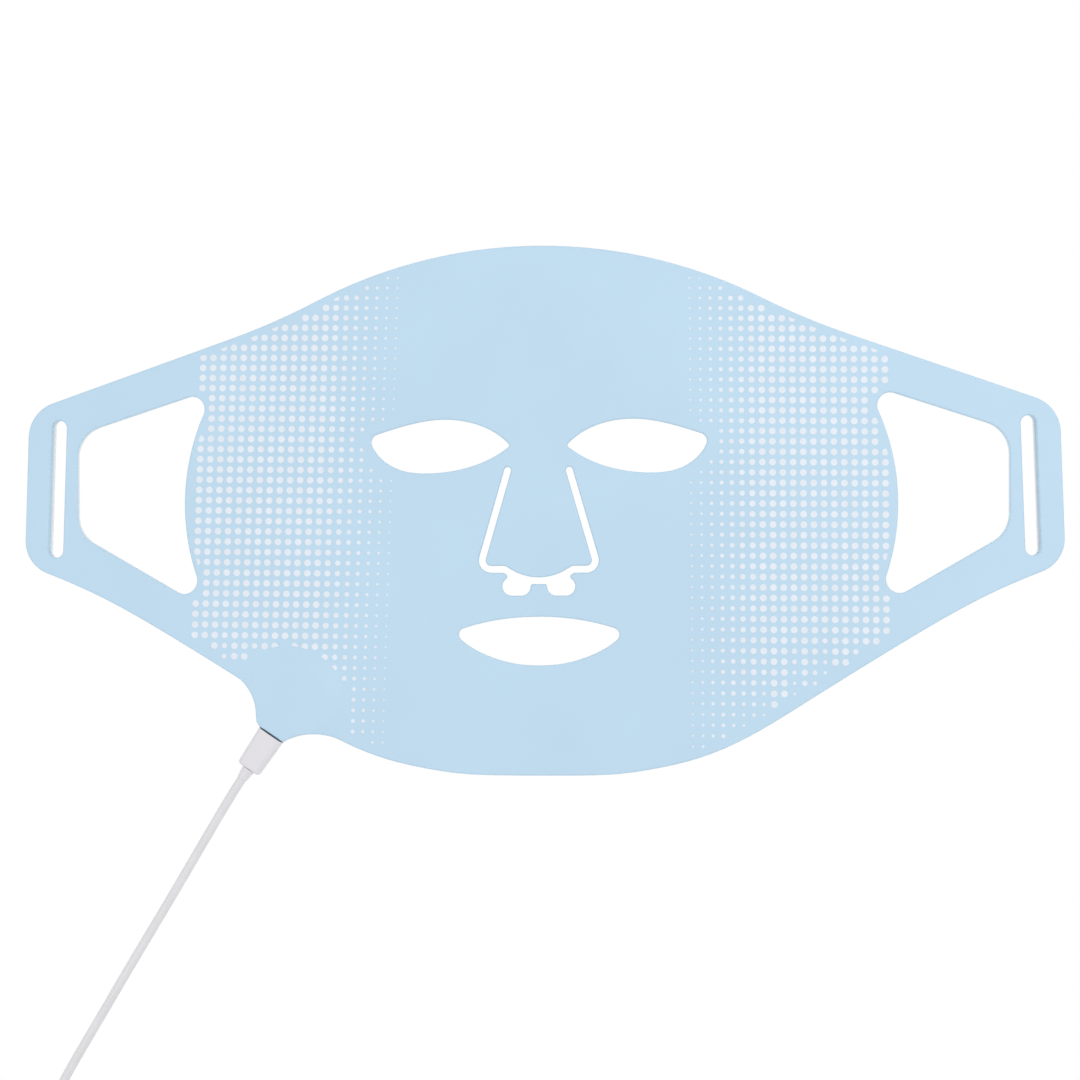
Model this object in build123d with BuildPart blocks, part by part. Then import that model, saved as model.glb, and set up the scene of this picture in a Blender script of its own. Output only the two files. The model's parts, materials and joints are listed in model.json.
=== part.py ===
"""Flexible LED face mask lying flat on its skin side, with its plug-in lead. All lengths are in millimetres.

+X points to the wearer's left, +Y to the forehead and +Z out of the front. The origin is on the surface
that the mask lies on, under the middle of the mask. The mask is two silicone sheets, a blue front cover
and a white face liner, with a printed circuit and its lamps between them. A rigid port case sits in a
lobe of the jaw. The silicone flexes. Its bending lines are hinges here, and each one is a V-shaped gap
across both sheets.
"""

import os
from math import atan2, cos, degrees, pi, radians, sin, tan

from build123d import *

# ---------------------------------------------------------------- driving dimensions
PANEL_HALF_HEIGHT = 99.5
LINER_TOP = 2.6  # the face liner is the lower sheet
CIRCUIT_THICKNESS = 0.2
PANEL_TOP = 5.0  # top of the front cover
HINGE_HEIGHT = PANEL_TOP / 2

# Bending lines: the cheeks bend at CHEEK_HINGE_X, the wings at WING_HINGE_X, the nose flap at NOSE_HINGE_Y.
CHEEK_HINGE_X = 70.0
WING_HINGE_X = 118.0
NOSE_HINGE_Y = 15.3
WRAP_ANGLE = 40.0  # towards the skin side
FOLD_ANGLE = 25.0  # towards the front
NOSE_LIFT = 40.0
HINGE_GAP = 0.3

# Outline of the right-hand half, which is mirrored.
CROWN_RADIUS, CROWN_ANGLE = 184.0, 27.0
TEMPLE_RADIUS, TEMPLE_ANGLE = 265.0, 7.8
TIP_TOP = (193.6, 38.4)
TIP_BOTTOM = (195.7, -19.8)
TIP_TOP_RADIUS, TIP_BOTTOM_RADIUS = 14.0, 13.0
JAW_POINTS = [(171, -29.9), (137, -48.7), (101, -71.1), (75.8, -86.1), (57.5, -93.5), (40.7, -97.3)]
JAW_START_ANGLE = 200.4

# Openings
EYE_INNER, EYE_OUTER = (10.6, 24.6), (63.8, 28.0)
EYE_UPPER = [(17.4, 30.1), (26.4, 33.5), (35.4, 34.5), (48.8, 32.6)]
EYE_LOWER = [(60.2, 20.8), (52.0, 15.6), (42.0, 14.3), (30.0, 15.6), (18.5, 19.5)]
EYE_INNER_RADIUS, EYE_OUTER_RADIUS = 0.9, 3.0
MOUTH_CORNER = (32.2, -45.4)
MOUTH_UPPER = (16.6, -41.1)
MOUTH_LOWER = [(27.0, -50.3), (18.0, -54.9), (9.0, -57.4)]
MOUTH_TOP, MOUTH_BOTTOM = -39.7, -58.1
MOUTH_CORNER_RADIUS = 2.6
WINDOW_INNER = [(121.4, 47.2), (134.1, 4.0), (123.7, -38.2)]
WINDOW_OUTER = [(175.2, 29.5), (175.2, -8.3)]
WINDOW_RADII = {"inner_top": 4.8, "outer": 12.0, "inner_bottom": 5.2}
SLOT_TOP, SLOT_BOTTOM = (181.5, 34.9), (183.4, -17.1)
COVER_SLOT_WIDTH, LINER_SLOT_WIDTH = 5.6, 4.8
NOSE_SLIT_WIDTH = 2.6
NOSE_ROOT_X = 11.6
NOSE_WING = (22.4, -21.9)
NOSE_DIP_START, NOSE_DIP_END, NOSE_DIP_BOTTOM = (13.0, -21.9), (11.5, -22.8), -26.2
NOSE_WING_RADIUS = 3.4
NOSTRIL_CENTRE, NOSTRIL_SIZE = (8.4, -28.3), (10.6, 7.0)
NOSTRIL_SOFTENING = 1.0

# Port lobe on the wearer's right jaw. The plug leaves it at PLUG_ANGLE from straight down.
PLUG_ANGLE = 34.2
SEAT = (-101.4, -84.0)
SEAT_HALF = 5.4
LOBE_START = (-114.92, -62.13)
LOBE_FILLET_RADIUS, LOBE_FILLET_ANGLE = 17.0, 52.0
LOBE_HEADING = 33.0
LOBE_KNEE = (-107.0, -79.15)
LOBE_SHOULDER = (-86.0, -84.0)
LOBE_END = (-74.0, -87.0)
BOSS_CENTRE = (-94.6, -72.0)
BOSS_FOOT, BOSS_HEAD, BOSS_TOP = 21.0, 14.5, 6.7

# Lamps and circuit
LAMP_PITCH = 15.0
LAMP_SIZE = (3.5, 2.8, 0.8)
LAMP_CLEARANCE = 0.1
LAMP_EDGE = 6.5
CIRCUIT_EDGE = 3.0
CIRCUIT_HALF_WIDTH = 112.0

# Port case and what is in it, in the port's own frame: x along the seat, y into the mask.
NECK_WIDTH, NECK_START = 10.6, 2.2
CASE_WIDTH, CASE_START, CASE_END = 20.0, 7.6, 22.5
CASE_LOW, CASE_SPLIT, CASE_HIGH = 0.7, 5.2, 6.0
CASE_WALL, CASE_CORNER, NECK_CORNER = 0.8, 3.0, 0.5
PORT_HEIGHT = 3.4
BOARD_THICKNESS = 0.8
RECEPTACLE = (8.94, 3.26)
RECEPTACLE_WALL = 0.3
RECEPTACLE_BACK = 8.2
TONGUE = (6.7, 0.7)
TONGUE_TIP, TONGUE_ROOT = 1.9, 6.6

# Lead: the plug at the mask
PLUG_SHELL = (8.25, 2.4)
PLUG_TIP = 6.2
PLUG_SLOT = (6.95, 1.0)
PLUG_GAP = 0.4
GRIP_LENGTH = 15.6
GRIP_FRONT, GRIP_BACK = (10.6, 6.2), (9.6, 5.6)
COLLAR_LENGTH = 4.5
COLLAR_FRONT, COLLAR_BACK = 5.1, 3.9

# Lead: the cord, its coil and the plug at its far end
CORD_DIAMETER = 3.5
CORD_LIE = CORD_DIAMETER / 2 + 0.03  # height of the cord's centre where it lies on the surface
COIL_CENTRE = (-166.0, -250.0)
COIL_RADIUS = 24.7
COIL_LOW = 2.6  # height of the lowest turns' centres
COIL_PITCH, COIL_LAYER_PITCH = 3.75, 3.7
TURNS_PER_LAYER = 3
ROUTE = [
    (-116.3, -105.9, PORT_HEIGHT),
    (-129.9, -128.5, 2.2),
    (-142.2, -149.2, CORD_LIE),
    (-154.9, -170.0, CORD_LIE),
    (-167.1, -190.6, CORD_LIE),
    (-179.2, -210.9, CORD_LIE),
    (-185.3, -222.0, 2.0),
    (-188.5, -232.2, 2.6),
]
TAIL = [
    (-147.5, -271.2, 9.5),
    (-140.0, -272.2, 7.9),
    (-132.0, -273.4, 5.4),
    (-123.5, -274.4, 3.84),
    (-115.5, -274.5, 3.82),
]
FAR_RELIEF_LENGTH, FAR_RELIEF_DIAMETER = 6.0, 5.3
FAR_GRIP = (22.0, 15.6, 7.6)
FAR_SHELL = (12.0, 12.0, 4.5)
FAR_SHELL_WALL = 0.3
TIE_ANGLE, TIE_THICKNESS, TIE_SLACK = 26.0, 0.6, 0.15

os.makedirs("parts", exist_ok=True)


def write(label, *shapes):
    """Writes one named piece, which may be a group of separate solids."""
    with BuildPart() as piece:
        add(shapes)
    piece.part.label = label
    export_step(piece.part, f"parts/{label}.step")


def heading(angle):
    """Unit vector at an angle from +X, in degrees."""
    return (cos(radians(angle)), sin(radians(angle)))


def mirrored(points):
    return [(-x, y) for x, y in reversed(points)]


# ---------------------------------------------------------------- flat shapes of the panel
with BuildSketch() as half_panel:
    with BuildLine():
        crown = CenterArc((0, PANEL_HALF_HEIGHT - CROWN_RADIUS), CROWN_RADIUS, 90, -CROWN_ANGLE)
        temple = JernArc(crown @ 1, crown % 1, TEMPLE_RADIUS, TEMPLE_ANGLE)
        Line(temple @ 1, TIP_TOP)
        Line(TIP_TOP, TIP_BOTTOM)
        jaw = Spline(
            TIP_BOTTOM,
            *JAW_POINTS,
            (0, -PANEL_HALF_HEIGHT),
            tangents=[heading(JAW_START_ANGLE), heading(180)],
        )
        Line(jaw @ 1, crown @ 0)
    make_face()
    fillet(half_panel.vertices().group_by(Axis.X)[-1], TIP_BOTTOM_RADIUS)
    fillet(half_panel.vertices().sort_by_distance(TIP_TOP)[0], TIP_TOP_RADIUS)

port_plane = Plane(origin=(*SEAT, 0), x_dir=(*heading(-PLUG_ANGLE), 0), z_dir=(0, 0, 1))
seat_left = port_plane.from_local_coords((-SEAT_HALF, 0, 0))
seat_right = port_plane.from_local_coords((SEAT_HALF, 0, 0))

with BuildSketch() as lobe:
    with BuildLine():
        hollow = JernArc(LOBE_START, heading(-LOBE_HEADING), LOBE_FILLET_RADIUS, -LOBE_FILLET_ANGLE)
        Polyline(hollow @ 1, LOBE_KNEE, seat_left, seat_right)
        shoulder = ThreePointArc(seat_right, LOBE_SHOULDER, LOBE_END)
        Polyline(shoulder @ 1, (-88, -58), LOBE_START)
    make_face()
    fillet(lobe.vertices().sort_by_distance(seat_right)[0], 0.8)
    fillet(lobe.vertices().sort_by_distance(LOBE_KNEE)[0], 0.8)

with BuildSketch() as eye:
    with BuildLine():
        Spline(EYE_INNER, *EYE_UPPER, EYE_OUTER)
        Spline(EYE_OUTER, *EYE_LOWER, EYE_INNER)
    make_face()
    fillet(eye.vertices().sort_by_distance(EYE_OUTER)[0], EYE_OUTER_RADIUS)
    fillet(eye.vertices().sort_by_distance(EYE_INNER)[0], EYE_INNER_RADIUS)

with BuildSketch() as mouth:
    with BuildLine():
        left_corner = (-MOUTH_CORNER[0], MOUTH_CORNER[1])
        Spline(left_corner, *mirrored([MOUTH_UPPER]), (0, MOUTH_TOP), MOUTH_UPPER, MOUTH_CORNER)
        Spline(MOUTH_CORNER, *MOUTH_LOWER, (0, MOUTH_BOTTOM), *mirrored(MOUTH_LOWER), left_corner)
    make_face()
    fillet(mouth.vertices(), MOUTH_CORNER_RADIUS)

with BuildSketch() as window:
    with BuildLine():
        ThreePointArc(*WINDOW_INNER)
        Polyline(WINDOW_INNER[-1], WINDOW_OUTER[1], WINDOW_OUTER[0], WINDOW_INNER[0])
    make_face()
    fillet(window.vertices().group_by(Axis.X)[-1], WINDOW_RADII["outer"])
    fillet(window.vertices().sort_by_distance(WINDOW_INNER[0])[0], WINDOW_RADII["inner_top"])
    fillet(window.vertices().sort_by_distance(WINDOW_INNER[-1])[0], WINDOW_RADII["inner_bottom"])

with BuildLine() as slit_line:
    FilletPolyline((NOSE_ROOT_X, NOSE_HINGE_Y), NOSE_WING, NOSE_DIP_START, radius=NOSE_WING_RADIUS)
    Line(NOSE_DIP_START, NOSE_DIP_END)
    mirror(about=Plane.YZ)
    ThreePointArc(NOSE_DIP_END, (0, NOSE_DIP_BOTTOM), (-NOSE_DIP_END[0], NOSE_DIP_END[1]))

# The slit has a notch under each nostril. Growing and shrinking it rounds the silicone's points between them.
with BuildSketch() as nose_slit:
    SlotArc(slit_line.wires()[0], NOSE_SLIT_WIDTH)
    with Locations(NOSTRIL_CENTRE, (-NOSTRIL_CENTRE[0], NOSTRIL_CENTRE[1])):
        SlotOverall(*NOSTRIL_SIZE)
    offset(amount=NOSTRIL_SOFTENING)
    offset(amount=-NOSTRIL_SOFTENING)

with BuildSketch() as panel:
    add(half_panel.sketch)
    mirror(about=Plane.YZ)
    add(lobe.sketch)

with BuildSketch() as open_panel:
    add(panel.sketch)
    add([eye.sketch, window.sketch], mode=Mode.SUBTRACT)
    add([eye.sketch.mirror(Plane.YZ), window.sketch.mirror(Plane.YZ)], mode=Mode.SUBTRACT)
    add([mouth.sketch, nose_slit.sketch], mode=Mode.SUBTRACT)


def strap_slot(width, side):
    """A strap slot with rounded ends. Both sheets share the slot's edge that is nearer the face."""
    shift = (width - LINER_SLOT_WIDTH) / 2
    rise, run = SLOT_TOP[1] - SLOT_BOTTOM[1], SLOT_TOP[0] - SLOT_BOTTOM[0]
    middle = ((SLOT_TOP[0] + SLOT_BOTTOM[0]) / 2 + shift, (SLOT_TOP[1] + SLOT_BOTTOM[1]) / 2)
    with BuildSketch() as slot:
        with Locations((side * middle[0], middle[1])):
            SlotOverall((rise**2 + run**2) ** 0.5, width, rotation=side * degrees(atan2(rise, run)))
    return slot.sketch


# ---------------------------------------------------------------- the two silicone sheets
def bend_gap(side, x):
    """The gap along a bending line: as wide at each face as the bend needs, and narrow on the axis."""
    half = HINGE_GAP / 2
    skin = half + HINGE_HEIGHT * tan(radians(WRAP_ANGLE / 2)) + 0.15
    front = half + (BOSS_TOP - HINGE_HEIGHT) * tan(radians(FOLD_ANGLE / 2)) + 0.15
    with BuildPart() as gap:
        with BuildSketch(Plane.XZ.offset(-PANEL_HALF_HEIGHT)):
            with Locations((side * x, 0)):
                Polygon(
                    (-skin, 0), (skin, 0), (half, HINGE_HEIGHT), (front, BOSS_TOP),
                    (-front, BOSS_TOP), (-half, HINGE_HEIGHT),
                    align=None,
                )
        extrude(amount=2 * PANEL_HALF_HEIGHT)
    return gap.part


def nose_gap():
    """The gap across the root of the nose flap, open towards the front so that the flap can lift."""
    half = HINGE_GAP / 2
    front = half + HINGE_HEIGHT * tan(radians(NOSE_LIFT / 2)) + 0.15
    with BuildPart() as gap:
        with BuildSketch(Plane.YZ.offset(-NOSE_ROOT_X)):
            with Locations((NOSE_HINGE_Y, 0)):
                Polygon(
                    (-half, 0), (half, 0), (half, HINGE_HEIGHT), (front, PANEL_TOP),
                    (-front, PANEL_TOP), (-half, HINGE_HEIGHT),
                    align=None,
                )
        extrude(amount=2 * NOSE_ROOT_X)
    return gap.part


GAPS = [bend_gap(side, x) for side in (-1, 1) for x in (CHEEK_HINGE_X, WING_HINGE_X)] + [nose_gap()]


def rounded_block(width, start, end, low, high, corner):
    """A box with rounded upright corners in the port's frame."""
    with BuildPart() as block:
        with BuildSketch(port_plane.offset(low)):
            with Locations((0, (start + end) / 2)):
                RectangleRounded(width, end - start, corner)
        extrude(amount=high - low)
    return block.part


def case_shape(low, high):
    """The outside of the port case between two heights: a wide box with a neck round the receptacle."""
    with BuildPart() as case:
        add(rounded_block(CASE_WIDTH, CASE_START, CASE_END, low, high, CASE_CORNER))
        add(rounded_block(NECK_WIDTH, NECK_START, CASE_START + CASE_CORNER, low, high, NECK_CORNER))
    return case.part


def port_face(depth):
    """The plane across the port at a depth into the mask, with its x along the seat."""
    centre = port_plane.from_local_coords((0, depth, PORT_HEIGHT))
    return Plane(origin=centre, x_dir=port_plane.x_dir, z_dir=port_plane.y_dir)


def port_oval(size, start, end, wall=None):
    """An oval bar along the port from one depth to another, hollow if it has a wall."""
    with BuildPart() as bar:
        with BuildSketch(port_face(start)):
            SlotOverall(*size)
            if wall:
                SlotOverall(size[0] - 2 * wall, size[1] - 2 * wall, mode=Mode.SUBTRACT)
        extrude(amount=end - start)
    return bar.part


case_block = case_shape(CASE_LOW, CASE_HIGH)
tail_block = rounded_block(12.4, CASE_END - 2, CASE_END + 5, LINER_TOP, LINER_TOP + 0.5, 0.5)
mouth_of_port = port_oval((RECEPTACLE[0] + 0.4, RECEPTACLE[1] + 0.4), -1, NECK_START)


def panel_inside(margin):
    """The panel without a margin along its outline and openings, as far out as the circuit goes."""
    holes = [eye.sketch, eye.sketch.mirror(Plane.YZ), mouth.sketch, nose_slit.sketch]
    with BuildSketch() as area:
        add(offset(panel.sketch, -margin, mode=Mode.PRIVATE))
        Rectangle(2 * CIRCUIT_HALF_WIDTH, 2 * PANEL_HALF_HEIGHT, mode=Mode.INTERSECT)
        for hole in holes:
            add(offset(hole, margin, mode=Mode.PRIVATE), mode=Mode.SUBTRACT)
    return area.sketch


def respline(area):
    """The same area with each offset curve drawn again as a spline, which a STEP file can hold."""
    with BuildSketch() as plain:
        for face in area.faces():
            loops = [(face.outer_wire(), Mode.ADD)]
            loops += [(wire, Mode.SUBTRACT) for wire in face.inner_wires()]
            for loop, mode in loops:
                with BuildLine():
                    for edge in loop.edges():
                        if edge.geom_type in (GeomType.LINE, GeomType.CIRCLE):
                            add(edge)
                        else:
                            count = max(4, int(edge.length / 4))
                            Spline(*[edge @ (i / count) for i in range(count + 1)])
                make_face(mode=mode)
    return plain.sketch


with BuildSketch() as circuit_area:
    add(respline(panel_inside(CIRCUIT_EDGE)))

with BuildPart() as circuit_sheet:
    with BuildSketch(Plane.XY.offset(LINER_TOP)):
        add(circuit_area.sketch)
    extrude(amount=CIRCUIT_THICKNESS)
    add(case_block, mode=Mode.SUBTRACT)

# ---------------------------------------------------------------- lamps, in a staggered grid
with BuildSketch() as lamp_area:
    add(panel_inside(LAMP_EDGE))
    with BuildSketch(mode=Mode.PRIVATE) as keep_clear:
        with Locations(port_plane.from_local_coords((0, (CASE_START + CASE_END) / 2, 0))):
            Rectangle(CASE_WIDTH + 6, CASE_END + 4, rotation=-PLUG_ANGLE)
        with Locations((0, NOSE_HINGE_Y)):
            Rectangle(2 * NOSE_ROOT_X + 8, 8)
    add(keep_clear.sketch, mode=Mode.SUBTRACT)


def lamp_sites(parity):
    """Places of every other lamp of the grid that lies on the panel, clear of its edges and openings."""
    faces = lamp_area.sketch.faces()
    columns = int(CIRCUIT_HALF_WIDTH // LAMP_PITCH)
    rows = int(PANEL_HALF_HEIGHT // LAMP_PITCH)
    sites = []
    for column in range(-columns, columns + 1):
        for row in range(-rows, rows + 1):
            if (column + row) % 2 == parity:
                place = Vector(column * LAMP_PITCH, row * LAMP_PITCH)
                if any(face.is_inside(place) for face in faces):
                    sites.append(place)
    return sites


def lamps(sites, grow=0.0):
    """One small block for each lamp, under the circuit."""
    with BuildPart() as blocks:
        with Locations(*[(site.X, site.Y, LINER_TOP) for site in sites]):
            Box(
                LAMP_SIZE[0] + 2 * grow,
                LAMP_SIZE[1] + 2 * grow,
                LAMP_SIZE[2] + grow,
                align=(Align.CENTER, Align.CENTER, Align.MAX),
            )
    return blocks.part


with BuildPart() as liner:
    with BuildSketch():
        add(open_panel.sketch)
        add([strap_slot(LINER_SLOT_WIDTH, side) for side in (-1, 1)], mode=Mode.SUBTRACT)
    extrude(amount=LINER_TOP)
    add(GAPS, mode=Mode.SUBTRACT)
    add([case_block, mouth_of_port], mode=Mode.SUBTRACT)
    add(lamps(lamp_sites(0) + lamp_sites(1), LAMP_CLEARANCE), mode=Mode.SUBTRACT)

# The swelling over the port is a low cone that leaves the front face at BOSS_FOOT.
BOSS_BASE = BOSS_HEAD + (BOSS_FOOT - BOSS_HEAD) * (BOSS_TOP - LINER_TOP) / (BOSS_TOP - PANEL_TOP)

with BuildPart() as cover:
    with BuildSketch(Plane.XY.offset(LINER_TOP)):
        add(open_panel.sketch)
        add([strap_slot(COVER_SLOT_WIDTH, side) for side in (-1, 1)], mode=Mode.SUBTRACT)
    extrude(amount=PANEL_TOP - LINER_TOP)
    with BuildPart(mode=Mode.PRIVATE) as boss:
        with Locations((*BOSS_CENTRE, LINER_TOP)):
            Cone(BOSS_BASE, BOSS_HEAD, BOSS_TOP - LINER_TOP, align=(Align.CENTER, Align.CENTER, Align.MIN))
        with BuildSketch(Plane.XY.offset(LINER_TOP)):
            add(panel.sketch)
        extrude(amount=BOSS_TOP - LINER_TOP, mode=Mode.INTERSECT)
    add(boss.part)
    add(GAPS, mode=Mode.SUBTRACT)
    add([case_block, tail_block, mouth_of_port], mode=Mode.SUBTRACT)
    add(circuit_sheet.part, mode=Mode.SUBTRACT)


# ---------------------------------------------------------------- sheets and circuit, one piece for each zone
def zone_of(solid):
    """Which bending zone of the mask a solid belongs to."""
    x, y = solid.center().X, solid.bounding_box().min.Y
    side = "left" if x > 0 else "right"
    if abs(x) > WING_HINGE_X:
        return f"{side}_wing"
    if abs(x) > CHEEK_HINGE_X:
        return f"{side}_cheek"
    below_hinge = solid.bounding_box().max.Y < NOSE_HINGE_Y + 1
    if abs(x) < NOSE_WING[0] and y > NOSE_DIP_BOTTOM - 1 and below_hinge:
        return "nose"
    return "centre"


def write_by_zone(label, solids):
    zones = {}
    for solid in solids:
        zones.setdefault(zone_of(solid), []).append(solid)
    for zone, group in zones.items():
        write(f"{label}_{zone}", *group)


write_by_zone("front_cover", cover.part.solids())
write_by_zone("face_liner", liner.part.solids())

with BuildPart() as circuit:
    add(circuit_sheet.part)
    with BuildSketch(port_plane.offset(LINER_TOP)):
        with Locations((0, CASE_END)):
            Rectangle(11, 6)
    extrude(amount=CIRCUIT_THICKNESS)
    add(GAPS, mode=Mode.SUBTRACT)
write_by_zone("flex_circuit", circuit.part.solids())
write_by_zone("red_leds", lamps(lamp_sites(0)).solids())
write_by_zone("infrared_leds", lamps(lamp_sites(1)).solids())

# ---------------------------------------------------------------- port case and what is in it
cavity = rounded_block(
    CASE_WIDTH - 2 * CASE_WALL,
    CASE_START + CASE_WALL,
    CASE_END - CASE_WALL,
    CASE_LOW + CASE_WALL,
    CASE_SPLIT,
    CASE_CORNER - CASE_WALL,
)
lid_block = case_shape(CASE_SPLIT, CASE_HIGH)
BOARD_LOW = LINER_TOP + CIRCUIT_THICKNESS
BOARD_HIGH = BOARD_LOW + BOARD_THICKNESS
board_edges = (CASE_WIDTH - 2 * CASE_WALL - 1, CASE_START + CASE_WALL + 0.3, CASE_END - CASE_WALL - 0.5)

with BuildPart() as tray:
    add(case_block)
    add([cavity, lid_block], mode=Mode.SUBTRACT)
    with BuildSketch(port_plane.offset(CASE_LOW + CASE_WALL)):
        for x in (-7.5, 7.5):
            with Locations((x, board_edges[1] + 2), (x, board_edges[2] - 2)):
                Circle(1.2)
    extrude(amount=BOARD_LOW - CASE_LOW - CASE_WALL)
    add(port_oval(RECEPTACLE, 0, CASE_START + CASE_WALL + 1), mode=Mode.SUBTRACT)
    with BuildSketch(port_plane.offset(LINER_TOP)):
        with Locations((0, CASE_END)):
            Rectangle(11.4, 4)
    extrude(amount=CIRCUIT_THICKNESS + 0.1, mode=Mode.SUBTRACT)
write("port_case_tray", tray.part)
write("port_case_lid", lid_block)

with BuildPart() as board:
    with BuildSketch(port_plane.offset(BOARD_LOW)):
        with Locations((0, (board_edges[1] + board_edges[2]) / 2)):
            RectangleRounded(board_edges[0], board_edges[2] - board_edges[1], 1)
    extrude(amount=BOARD_THICKNESS)
write("control_board", board.part)


def board_parts(places, size):
    """Small components on the control board, each given by its centre in the port's frame."""
    with BuildPart() as components:
        with BuildSketch(port_plane.offset(BOARD_HIGH)):
            with Locations(*places):
                Rectangle(size[0], size[1])
        extrude(amount=size[2])
    return components.part


write("control_chips", board_parts([(-4.4, 13.4), (4.2, 13.4)], (4.6, 4.6, 0.9)))
write("board_capacitors", board_parts([(x, 18.6) for x in (-6.6, -2.2, 2.2, 6.6)], (1.8, 1.1, 0.9)))

write("usb_c_port_shell", port_oval(RECEPTACLE, 0.1, RECEPTACLE_BACK, RECEPTACLE_WALL))

inner_oval = (RECEPTACLE[0] - 2 * RECEPTACLE_WALL, RECEPTACLE[1] - 2 * RECEPTACLE_WALL)
with BuildPart() as tongue:
    add(port_oval(inner_oval, TONGUE_ROOT, RECEPTACLE_BACK))
    with BuildSketch(port_face(TONGUE_TIP)):
        Rectangle(*TONGUE)
    extrude(amount=TONGUE_ROOT - TONGUE_TIP)
write("usb_c_port_tongue", tongue.part)

CONTACT_PITCH, CONTACT_SIZE = 0.5, (0.26, 0.08)
with BuildPart() as contacts:
    with BuildSketch(port_face(TONGUE_TIP + 0.5)):
        for side in (-1, 1):
            with Locations((0, side * (TONGUE[1] + CONTACT_SIZE[1]) / 2)):
                with GridLocations(CONTACT_PITCH, 0, 12, 1):
                    Rectangle(*CONTACT_SIZE)
    extrude(amount=3.6)
write("usb_c_port_contacts", contacts.part)

# ---------------------------------------------------------------- lead: the plug at the mask
with BuildPart() as plug_shell:
    with BuildSketch(port_face(-PLUG_GAP)):
        SlotOverall(*PLUG_SHELL)
        SlotOverall(PLUG_SHELL[0] - 0.4, PLUG_SHELL[1] - 0.4, mode=Mode.SUBTRACT)
    extrude(amount=PLUG_TIP + PLUG_GAP)
write("plug_shell", plug_shell.part)

with BuildPart() as plug_insert:
    with BuildSketch(port_face(-PLUG_GAP)):
        SlotOverall(PLUG_SHELL[0] - 0.4, PLUG_SHELL[1] - 0.4)
    extrude(amount=PLUG_TIP + PLUG_GAP - 0.2)
    with BuildSketch(port_face(TONGUE_TIP - 0.6)):
        Rectangle(*PLUG_SLOT)
    extrude(amount=PLUG_TIP, mode=Mode.SUBTRACT)
write("plug_insert", plug_insert.part)

with BuildPart() as grip:
    with BuildSketch(port_face(-PLUG_GAP)):
        RectangleRounded(*GRIP_FRONT, 2.2)
    with BuildSketch(port_face(-PLUG_GAP - GRIP_LENGTH)):
        RectangleRounded(*GRIP_BACK, 2.2)
    loft()
    fillet(grip.faces().sort_by(lambda face: port_plane.to_local_coords(face.center()).Y)[0].edges(), 1.1)
write("plug_grip", grip.part)

collar_start = -PLUG_GAP - GRIP_LENGTH
with BuildPart() as collar:
    with BuildSketch(port_face(collar_start)):
        Circle(COLLAR_FRONT / 2)
    with BuildSketch(port_face(collar_start - COLLAR_LENGTH)):
        Circle(COLLAR_BACK / 2)
    loft()
write("plug_collar", collar.part)

# ---------------------------------------------------------------- lead: cord, coil, coil tie and far plug
cord_start = port_plane.from_local_coords((0, collar_start - COLLAR_LENGTH, PORT_HEIGHT))


def cord_tube(points):
    """A round tube along straight runs, with each bend as large as the runs beside it allow."""
    corners = [Vector(*point) for point in points]
    radii = []
    for before, corner, after in zip(corners, corners[1:], corners[2:]):
        run_in, run_out = corner - before, after - corner
        turn = radians(run_in.get_angle(run_out))
        radii.append(0.45 * min(run_in.length, run_out.length) / tan(turn / 2))
    with BuildPart() as tube:
        with BuildLine():
            path = FilletPolyline(*corners, radius=radii)
        with BuildSketch(Plane(origin=path @ 0, z_dir=path % 0)):
            Circle(CORD_DIAMETER / 2)
        sweep()
    print("tube length", round(path.length, 1), "radii", [round(radius) for radius in radii])
    return tube.part


write("lead_cord", cord_tube([cord_start, *ROUTE]))
write("lead_tail", cord_tube(TAIL))

COIL_WIDTH = COIL_PITCH * (TURNS_PER_LAYER - 0.5) + CORD_DIAMETER
COIL_MIDDLE = COIL_RADIUS + CORD_DIAMETER / 2 - COIL_WIDTH / 2
with BuildPart() as coil:
    with BuildSketch(Plane(origin=(*COIL_CENTRE, 0), x_dir=(1, 0, 0), z_dir=(0, -1, 0))):
        with Locations((COIL_MIDDLE, COIL_LOW + COIL_LAYER_PITCH)):
            RectangleRounded(COIL_WIDTH, 2 * COIL_LAYER_PITCH + CORD_DIAMETER, CORD_DIAMETER / 2)
    revolve(axis=Axis((*COIL_CENTRE, 0), (0, 0, 1)))
write("lead_coil", coil.part)

tie_inner = (COIL_WIDTH + 2 * TIE_SLACK, 2 * COIL_LAYER_PITCH + CORD_DIAMETER + 2 * TIE_SLACK)
tie_start = -TIE_ANGLE / 2
tie_across, tie_along = heading(tie_start), heading(tie_start - 90)
tie_plane = Plane(origin=(*COIL_CENTRE, 0), x_dir=(*tie_across, 0), z_dir=(*tie_along, 0))
with BuildPart() as tie:
    with BuildSketch(tie_plane):
        with Locations((COIL_MIDDLE, COIL_LOW + COIL_LAYER_PITCH)):
            RectangleRounded(tie_inner[0] + 2 * TIE_THICKNESS, tie_inner[1] + 2 * TIE_THICKNESS, 2.3)
            RectangleRounded(*tie_inner, CORD_DIAMETER / 2, mode=Mode.SUBTRACT)
    revolve(axis=Axis((*COIL_CENTRE, 0), (0, 0, 1)), revolution_arc=TIE_ANGLE)
write("coil_tie", tie.part)

far_end = Vector(*TAIL[-1])


def far_face(distance):
    """The plane across the far plug at a distance beyond the cord's end."""
    return Plane(origin=far_end + Vector(distance, 0, 0), x_dir=(0, 1, 0), z_dir=(1, 0, 0))


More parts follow.
